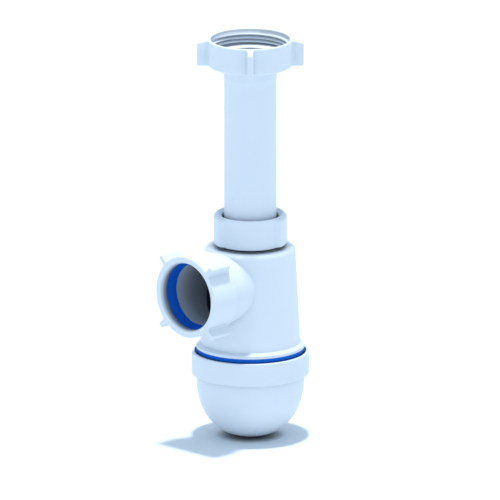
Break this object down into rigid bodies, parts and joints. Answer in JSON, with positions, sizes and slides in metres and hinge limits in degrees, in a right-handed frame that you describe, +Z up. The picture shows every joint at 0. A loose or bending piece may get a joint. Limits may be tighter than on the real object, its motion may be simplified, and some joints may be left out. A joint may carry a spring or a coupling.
{
  "type": "bottle trap",
  "caption": "Plastic bottle trap for a sink: winged union nut over a sliding inlet tube, bottle with a winged side outlet, and a screwed round cup below.",
  "frame": {"origin": "centre of the inlet washer's upper face, where the sink waste's thread seats inside the union nut", "axes": "+Z up along the inlet tube, -X out of the side outlet, +Y to the right of someone looking out of the outlet along -X"},
  "size_m": [0.092, 0.0718, 0.2501],
  "materials": {
    "white_plastic": "smooth moulded, slightly glossy",
    "blue_rubber": "satin",
    "washer_plastic": "matt",
    "seal_rubber": "satin"
  },
  "bodies": {
    "inlet_nut": {"inlet_nut": "white_plastic"},
    "tube": {"inlet_tube": "white_plastic", "inlet_washer": "washer_plastic"},
    "bottle": {"bottle_body": "white_plastic"},
    "compression_seal": {"compression_seal": "seal_rubber"},
    "compression_nut": {"compression_nut": "white_plastic"},
    "outlet_seal": {"outlet_seal": "blue_rubber"},
    "outlet_nut": {"outlet_nut": "white_plastic"},
    "cup_gasket": {"cup_gasket": "blue_rubber"},
    "cup": {"cup": "white_plastic"}
  },
  "joints": [
    {"name": "trap_swivel", "type": "hinge", "parent": "inlet_nut", "child": "tube", "pos_m": [0, 0, 0], "axis": [0, 0, 1], "continuous": true},
    {"name": "height_slide", "type": "slide", "parent": "tube", "child": "bottle", "axis": [0, 0, 1], "range_m": [-0.05, 0.009]},
    {"name": "compression_seal_lift", "type": "slide", "parent": "bottle", "child": "compression_seal", "axis": [0, 0, 1], "range_m": [0, 0.012]},
    {"name": "compression_nut_turn", "type": "hinge", "parent": "compression_seal", "child": "compression_nut", "pos_m": [0, 0, -0.1043], "axis": [0, 0, 1], "range_deg": [0, 1440]},
    {"name": "outlet_seal_slide", "type": "slide", "parent": "bottle", "child": "outlet_seal", "axis": [-1, 0, 0], "range_m": [0, 0.012]},
    {"name": "outlet_nut_turn", "type": "hinge", "parent": "outlet_seal", "child": "outlet_nut", "pos_m": [-0.051, 0, -0.1432], "axis": [-1, 0, 0], "range_deg": [0, 1440]},
    {"name": "cup_gasket_drop", "type": "slide", "parent": "bottle", "child": "cup_gasket", "axis": [0, 0, -1], "range_m": [0, 0.012]},
    {"name": "cup_turn", "type": "hinge", "parent": "cup_gasket", "child": "cup", "pos_m": [0, 0, -0.1875], "axis": [0, 0, -1], "range_deg": [0, 1080]}
  ],
  "couplings": [
    {"joint": "compression_seal_lift", "follows": "compression_nut_turn", "m_per_rad": 0.00047746},
    {"joint": "outlet_seal_slide", "follows": "outlet_nut_turn", "m_per_rad": 0.00047746},
    {"joint": "cup_gasket_drop", "follows": "cup_turn", "m_per_rad": 0.00063661}
  ]
}
